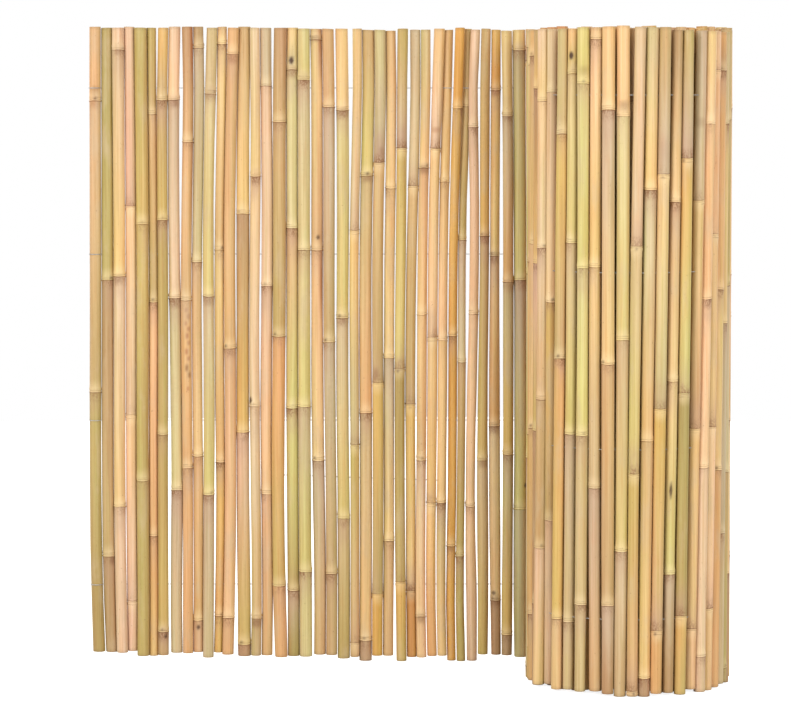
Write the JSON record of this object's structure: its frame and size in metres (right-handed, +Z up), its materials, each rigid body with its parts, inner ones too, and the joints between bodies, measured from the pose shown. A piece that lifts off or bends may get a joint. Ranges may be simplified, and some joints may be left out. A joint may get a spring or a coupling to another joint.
{
  "type": "bamboo fence panel",
  "caption": "Roll-out garden fence of whole bamboo canes strung side by side on galvanised wires, standing on end with a flat stretch drawn off the roll.",
  "frame": {"origin": "middle of the bounding box at floor level", "axes": "+X along the flat stretch towards the roll, +Y away from the front, +Z up along the canes"},
  "size_m": [1.0035, 0.3348, 1.0087],
  "materials": {
    "bamboo_straw": "satin straw yellow bamboo skin",
    "bamboo_green": "satin olive green bamboo skin",
    "bamboo_tan": "satin pinkish tan bamboo skin",
    "bamboo_amber": "satin amber bamboo skin",
    "galvanised_wire": "dull galvanised steel wire"
  },
  "bodies": {
    "root": {"cane_01": "bamboo_green", "cane_02": "bamboo_green", "cane_03": "bamboo_tan", "cane_04": "bamboo_tan", "cane_05": "bamboo_green", "cane_06": "bamboo_amber", "cane_07": "bamboo_green", "cane_08": "bamboo_straw", "cane_09": "bamboo_amber", "cane_10": "bamboo_straw", "cane_11": "bamboo_green", "cane_12": "bamboo_amber", "cane_13": "bamboo_amber", "cane_14": "bamboo_straw", "cane_15": "bamboo_tan", "cane_16": "bamboo_tan", "cane_17": "bamboo_straw", "cane_18": "bamboo_green", "cane_19": "bamboo_green", "cane_20": "bamboo_straw", "cane_21": "bamboo_straw", "cane_22": "bamboo_straw", "cane_23": "bamboo_amber", "cane_24": "bamboo_straw", "cane_25": "bamboo_tan", "cane_26": "bamboo_tan", "cane_27": "bamboo_green", "cane_28": "bamboo_amber", "cane_29": "bamboo_amber", "cane_30": "bamboo_tan", "cane_31": "bamboo_tan", "cane_32": "bamboo_amber", "cane_33": "bamboo_green", "cane_34": "bamboo_tan", "cane_35": "bamboo_straw", "cane_36": "bamboo_amber", "cane_37": "bamboo_straw", "cane_38": "bamboo_green", "canes_behind_roll": "bamboo_straw", "roll_outer_right_a": "bamboo_straw", "roll_outer_right_b": "bamboo_straw", "roll_front_right": "bamboo_straw", "roll_front_left": "bamboo_straw", "roll_outer_left_a": "bamboo_straw", "roll_outer_left_b": "bamboo_straw", "roll_second_turn_a": "bamboo_straw", "roll_second_turn_b": "bamboo_straw", "roll_second_turn_c": "bamboo_straw", "roll_second_turn_d": "bamboo_straw", "roll_second_turn_e": "bamboo_straw", "roll_inner_turn_a": "bamboo_straw", "roll_inner_turn_b": "bamboo_straw", "roll_inner_turn_c": "bamboo_straw", "wire_top": "galvanised_wire", "wire_upper": "galvanised_wire", "wire_lower": "galvanised_wire", "wire_bottom": "galvanised_wire", "wire_short_extra": "galvanised_wire"}
  },
  "joints": []
}
